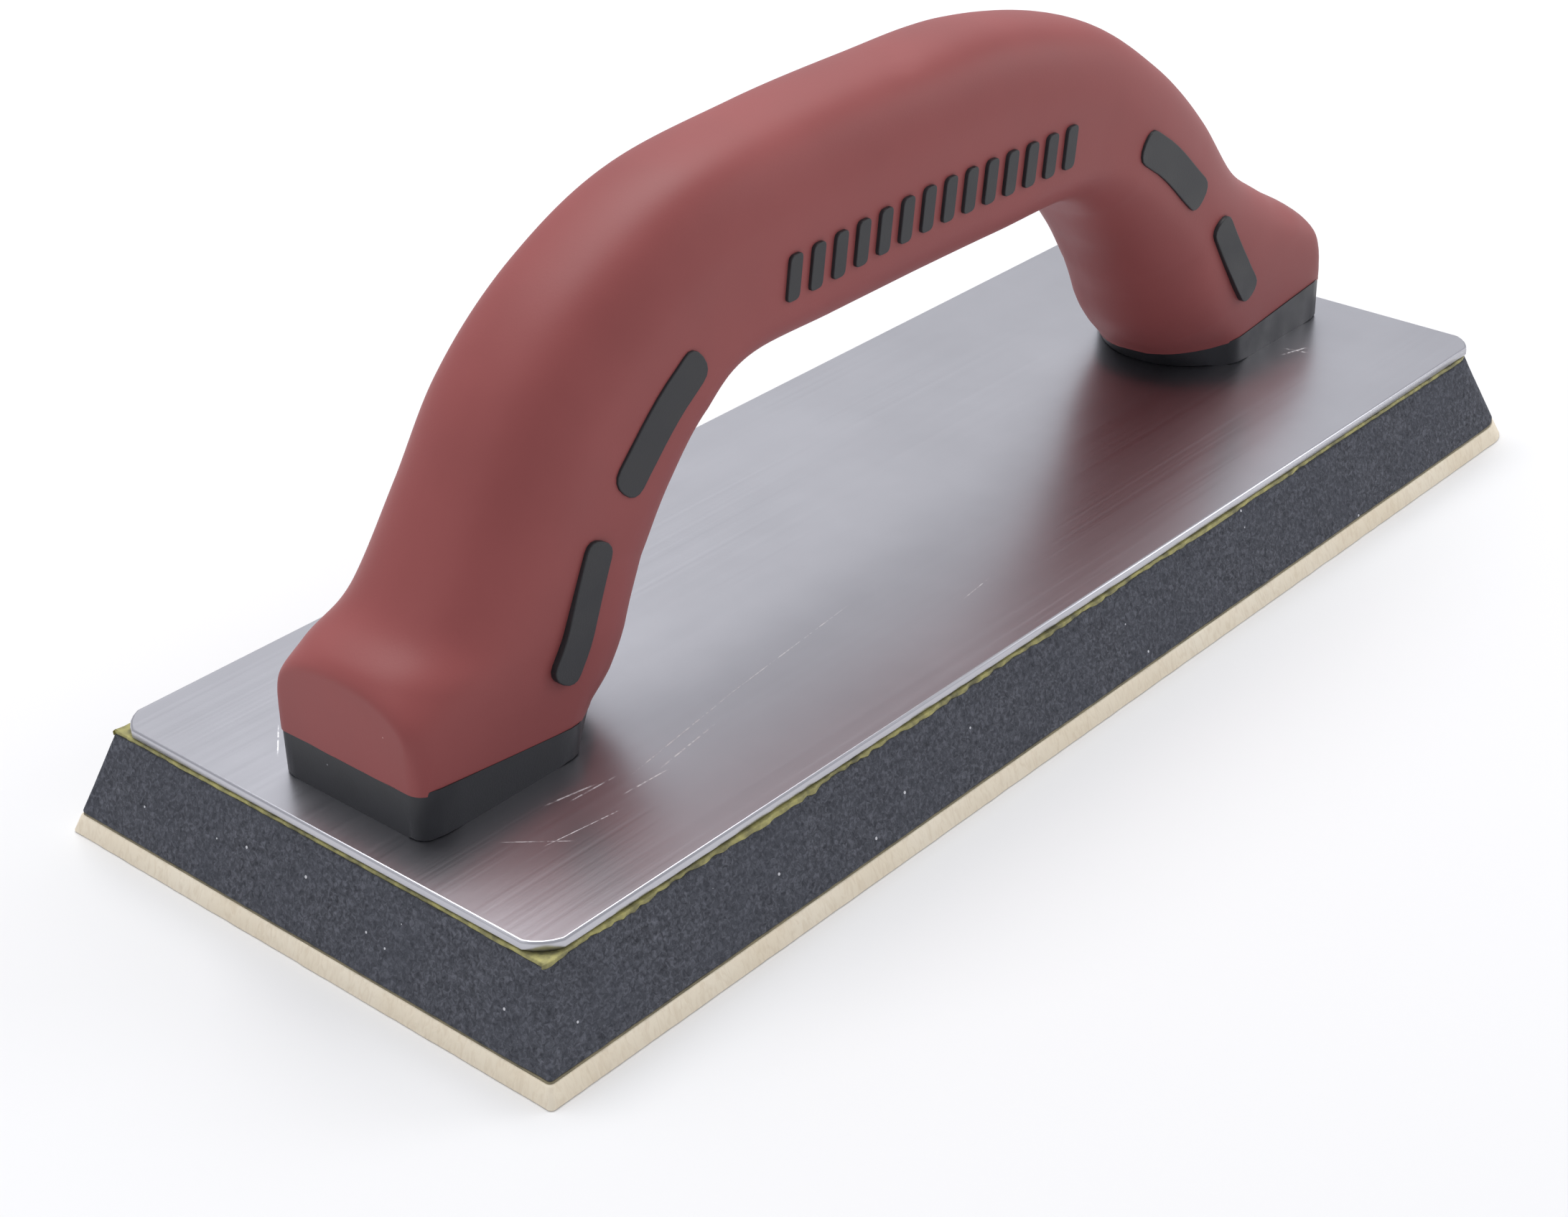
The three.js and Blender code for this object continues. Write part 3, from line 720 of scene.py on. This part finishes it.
def soft_grip():
    """The overmoulding, with its gate mark and a ragged lip of flash at the parting level."""
    rings = []
    steps = LAST * STEPS_PER_KNOT
    for i in range(-steps, steps + 1):
        ring = ring_at(i / STEPS_PER_KNOT)
        for p in ring:
            share = 1 - smooth_step(PARTING, PARTING + PARTING_FADE, p.z)
            p.z += share * parting_shift(p.x)
            if abs(i) == steps:
                p.z += wobble(p, 5 * MM, 0.4 * MM, 8)
        rings.append(ring)
    bm = skin_through(rings)
    for v in bm.verts:
        away = (v.co.xy - GATE).length
        if v.co.z > (UNDERSIDE + CROWN) / 2 and away < GATE_REACH:
            bowl = math.exp(-((away / GATE_BOWL) ** 2)) * GATE_BOWL_DEPTH
            ring = math.exp(-(((away - GATE_RING) / GATE_RING_WIDTH) ** 2)) * GATE_RING_DEPTH
            v.co.z -= bowl + ring
        v.co += Vector((0, math.copysign(1, v.co.y), 0)) * wobble(v.co, 25 * MM, 0.15 * MM, 9)
    return finish_piece("soft_grip_overmould", bm, GRIP_RUBBER, "handle_grip", smooth_angle=60)


def plinth(bm, side):
    """One black foot plinth, from the plate up to just inside the soft grip."""
    ring = ring_at(side * LAST, inset=PLINTH_INSET, softness=PLINTH_SOFTNESS)
    inner_end = min(abs(p.x) for p in ring)
    verts = []
    for p in ring:
        draft = PLINTH_DRAFT * (1 - smooth_step(inner_end, inner_end + PLINTH_DRAFT_REACH, abs(p.x)))
        verts.append(bm.verts.new(Vector((p.x + side * draft, p.y, PLATE_TOP))))
    base = bm.faces.new(verts)
    made = bmesh.ops.extrude_face_region(bm, geom=[base])["geom"]
    for v in [v for v in made if isinstance(v, bmesh.types.BMVert)]:
        below = min(range(len(verts)), key=lambda i: (verts[i].co - v.co).length)
        v.co = ring[below] + Vector((0, 0, parting_shift(ring[below].x) + PLINTH_LIP))
    rims = [e for e in bm.edges if e.verts[0] in verts and e.verts[1] in verts]
    rounded(bm, rims, PLINTH_RIM)


def raised_pad(bm, outline, face_y, side, rim):
    """A pad standing out of a side panel: an outline of X and Z points, with its face at the given Y for each."""
    verts = [bm.verts.new((p.x, side * (y - PAD_ROOT), p.y)) for p, y in zip(outline, face_y)]
    base = bm.faces.new(verts)
    made = bmesh.ops.extrude_face_region(bm, geom=[base])["geom"]
    top = [v for v in made if isinstance(v, bmesh.types.BMVert)]
    bmesh.ops.translate(bm, vec=(0, side * PAD_ROOT, 0), verts=top)
    rounded(bm, [e for e in made if isinstance(e, bmesh.types.BMEdge)], rim)


def window_outline(near, far, width, side_x):
    """A strip along the panels' middle line with round ends, and the half width of the handle at each point."""
    steps = WINDOW_STEPS
    knots = [side_x * (near + (far - near) * i / steps) for i in range(steps + 1)]
    spine = [panel_point(k) for k in knots]
    heading = []
    for k in knots:
        way = panel_point(k + side_x * 0.01) - panel_point(k)
        heading.append(Vector((way.x, way.z)).normalized())
    flat = [Vector((p.x, p.z)) for p in spine]
    across = [Vector((-h.y, h.x)) * width / 2 for h in heading]
    left = [(p + a, k) for p, a, k in zip(flat, across, knots)]
    right = [(p - a, k) for p, a, k in zip(flat, across, knots)]
    ends = []
    for index, turn_way in ((-1, 1), (0, -1)):
        cap = []
        for i in range(1, steps):
            angle = math.pi * i / steps
            swing = math.copysign(abs(math.cos(angle)) ** WINDOW_END_SQUARENESS, math.cos(angle))
            reach = math.sin(angle) ** WINDOW_END_SQUARENESS * WINDOW_END_REACH
            offset = (across[index] * swing + heading[index] * (width / 2) * reach) * turn_way
            cap.append((flat[index] + offset, knots[index]))
        ends.append(cap)
    points = left + ends[0] + right[::-1] + ends[1]
    return [p for p, _ in points], [section_at(k)["half_width"] for _, k in points]


def knot_at_x(x):
    """The knot number on the grip where the panels' middle line has the given X."""
    low, high = -LAST / 2, LAST / 2
    for _ in range(30):
        middle = (low + high) / 2
        low, high = (middle, high) if panel_point(middle).x < x else (low, middle)
    return low


def mark_outline(middle):
    """A leaning mark with rounded corners, in X and Z."""
    x, z, lean = MARK_WIDTH / 2, MARK_HEIGHT / 2, MARK_LEAN / 2
    slanted = ((-x - lean, -z), (x - lean, -z), (x + lean, z), (-x + lean, z))
    corners = [Vector((middle.x + a, middle.z + b)) for a, b in slanted]
    outline = []
    for i, corner in enumerate(corners):
        near = corner + (corners[i - 1] - corner).normalized() * MARK_CORNER
        far = corner + (corners[(i + 1) % 4] - corner).normalized() * MARK_CORNER
        for t in (0.0, 0.25, 0.5, 0.75, 1.0):
            outline.append(near * (1 - t) ** 2 + corner * 2 * t * (1 - t) + far * t**2)
    return outline


def hard_core():
    """What shows of the black core: a plinth under each foot, two windows on each side of each leg, and the marks."""
    bm = bmesh.new()
    for side in (-1, 1):
        plinth(bm, side)
    for side_y in (-1, 1):
        for side_x in (-1, 1):
            for (near, far), width in zip(WINDOW_SPANS, WINDOW_WIDTHS):
                outline, widths = window_outline(near, far, width, side_x)
                raised_pad(bm, outline, [w + WINDOW_PROUD for w in widths], side_y, WINDOW_RIM)
        count = int(2 * (TOE - FRONT_OUTER_OUTLINE[0][0] * MM - MARK_ROW_MARGIN) / MARK_PITCH)
        for i in range(count):
            knot = knot_at_x((i - (count - 1) / 2) * MARK_PITCH)
            outline = mark_outline(panel_point(knot))
            face_y = section_at(knot)["half_width"] + MARK_PROUD
            raised_pad(bm, outline, [face_y] * len(outline), side_y, MARK_RIM)
    return finish_piece("hard_core_show_through", bm, CORE_PLASTIC, "handle_core", smooth_angle=35)


gum_sheet()
face_seam()
sponge_pad()
glue_bead()
backing_plate()
soft_grip()
hard_core()

for name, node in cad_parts.items():
    if name.startswith("handle_screw"):
        node.data.materials.clear()
        node.data.materials.append(STEEL)

# ---- stage, camera and light ----------------------------------------------------------------------------

CAMERA_AZIMUTH = math.radians(-48.15)
CAMERA_ELEVATION = math.radians(29.55)
CAMERA_ROLL = math.radians(-1.6)
CAMERA_DISTANCE = 453.65 * MM
CAMERA_ASIDE = (-15.28 * MM, -8.93 * MM)  # from the line through the reference point, across and up
CAMERA_LENS = 62.49  # millimetres, on a sensor 36 mm wide
CAMERA_SENSOR = 36
REFERENCE = Vector((0, 0, 10 * MM))
FLOOR_GAP = 0.05 * MM  # keeps the floor and the working face from lying in one plane
STUDIO_COLOUR, STUDIO_STRENGTH = "#F8F9FF", 0.56
LIGHT_TARGET = Vector((0, 0, 40 * MM))
SOFTBOXES = (
    # name, place and size in metres, and power in watts
    ("overhead_softbox", (0.15, 0.35, 1.0), (0.9, 0.6), 8.5),
    ("right_softbox", (1.0, -0.6, 0.55), (0.6, 0.6), 2.9),
    ("left_softbox", (-1.0, 0.3, 0.7), (0.6, 0.6), 0.6),
    ("back_card", (0.9, 0.8, 0.6), (1.2, 0.8), 0.5),
)


def make_camera():
    """A camera turned towards the float, then moved aside without turning."""
    a, e, roll = CAMERA_AZIMUTH, CAMERA_ELEVATION, CAMERA_ROLL
    back = Vector((math.sin(a) * math.cos(e), -math.cos(a) * math.cos(e), math.sin(e)))
    right = Vector((0, 0, 1)).cross(back).normalized()
    up = back.cross(right)
    across = math.cos(roll) * right + math.sin(roll) * up
    upright = -math.sin(roll) * right + math.cos(roll) * up
    data = bpy.data.cameras.new("camera")
    data.lens = CAMERA_LENS
    data.sensor_width = CAMERA_SENSOR
    data.clip_start, data.clip_end = 0.01, 20
    camera = bpy.data.objects.new("camera", data)
    bpy.context.scene.collection.objects.link(camera)
    place = REFERENCE + across * CAMERA_ASIDE[0] + upright * CAMERA_ASIDE[1] + back * CAMERA_DISTANCE
    turn = Matrix((across, upright, back)).transposed().to_4x4()
    camera.matrix_world = Matrix.Translation(place) @ turn
    bpy.context.scene.camera = camera


def make_floor():
    """A wide sheet of paper just under the float."""
    bm = bmesh.new()
    bmesh.ops.create_grid(bm, x_segments=2, y_segments=2, size=3)
    bmesh.ops.translate(bm, vec=(0, 0, -FLOOR_GAP), verts=bm.verts)
    mesh = bpy.data.meshes.new("floor")
    bm.to_mesh(mesh)
    bm.free()
    floor = bpy.data.objects.new("floor", mesh)
    bpy.context.scene.collection.objects.link(floor)
    mesh.materials.append(floor_paper())


def make_light():
    """An even pale room, with softboxes that all face the float."""
    world = bpy.data.worlds.new("studio")
    bpy.context.scene.world = world
    world.use_nodes = True
    room = world.node_tree.nodes["Background"]
    room.inputs["Color"].default_value = colour(STUDIO_COLOUR)
    room.inputs["Strength"].default_value = STUDIO_STRENGTH
    for name, place, size, power in SOFTBOXES:
        data = bpy.data.lights.new(name, "AREA")
        data.shape = "RECTANGLE"
        data.size, data.size_y = size
        data.energy = power
        light = bpy.data.objects.new(name, data)
        bpy.context.scene.collection.objects.link(light)
        light.location = place
        light.rotation_euler = (LIGHT_TARGET - Vector(place)).to_track_quat("-Z", "Y").to_euler()
    bpy.context.scene.view_settings.view_transform = "Standard"


make_camera()
make_floor()
make_light()
